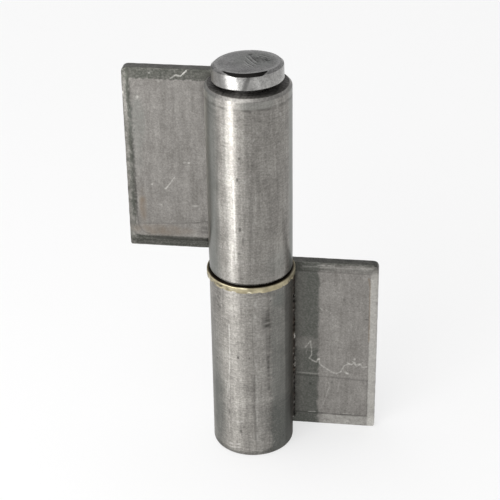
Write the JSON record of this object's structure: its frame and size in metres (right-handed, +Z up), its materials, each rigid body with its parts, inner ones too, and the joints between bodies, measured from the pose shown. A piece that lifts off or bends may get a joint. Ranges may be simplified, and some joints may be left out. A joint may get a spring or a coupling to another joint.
{
  "type": "weld on barrel hinge",
  "caption": "Weld-on flag hinge: turned steel barrels stacked on a headed lift-out pin over a brass thrust washer, each barrel with a flat leaf welded to its side.",
  "frame": {"origin": "on the hinge axis at the foot of the lower barrel", "axes": "+Z up the hinge axis, +X towards the lower leaf, and the leaves' show faces look along -Y"},
  "size_m": [0.0606, 0.0212, 0.1024],
  "materials": {
    "turned_steel": "bare cold-drawn and turned, fine upright draw marks",
    "pin_steel": "bare, struck head with tool marks",
    "plate_steel": "bare mill plate, dull, faint brown stains and scratches",
    "weld_metal": "rippled, dark with bright droplets",
    "washer_brass": "pale, dull"
  },
  "bodies": {
    "lower_half": {"lower_barrel": "turned_steel", "lower_leaf": "plate_steel", "lower_front_weld": "weld_metal", "lower_back_weld": "weld_metal", "brass_washer": "washer_brass"},
    "upper_half": {"upper_barrel": "turned_steel", "upper_leaf": "plate_steel", "upper_front_weld": "weld_metal", "upper_back_weld": "weld_metal"},
    "pin": {"hinge_pin": "pin_steel"}
  },
  "joints": [
    {"name": "leaf_swing", "type": "hinge", "parent": "lower_half", "child": "upper_half", "pos_m": [0, 0, 0.0494], "axis": [0, 0, 1], "continuous": true},
    {"name": "pin_lift", "type": "slide", "parent": "lower_half", "child": "pin", "axis": [0, 0, 1], "range_m": [0, 0.092]}
  ]
}
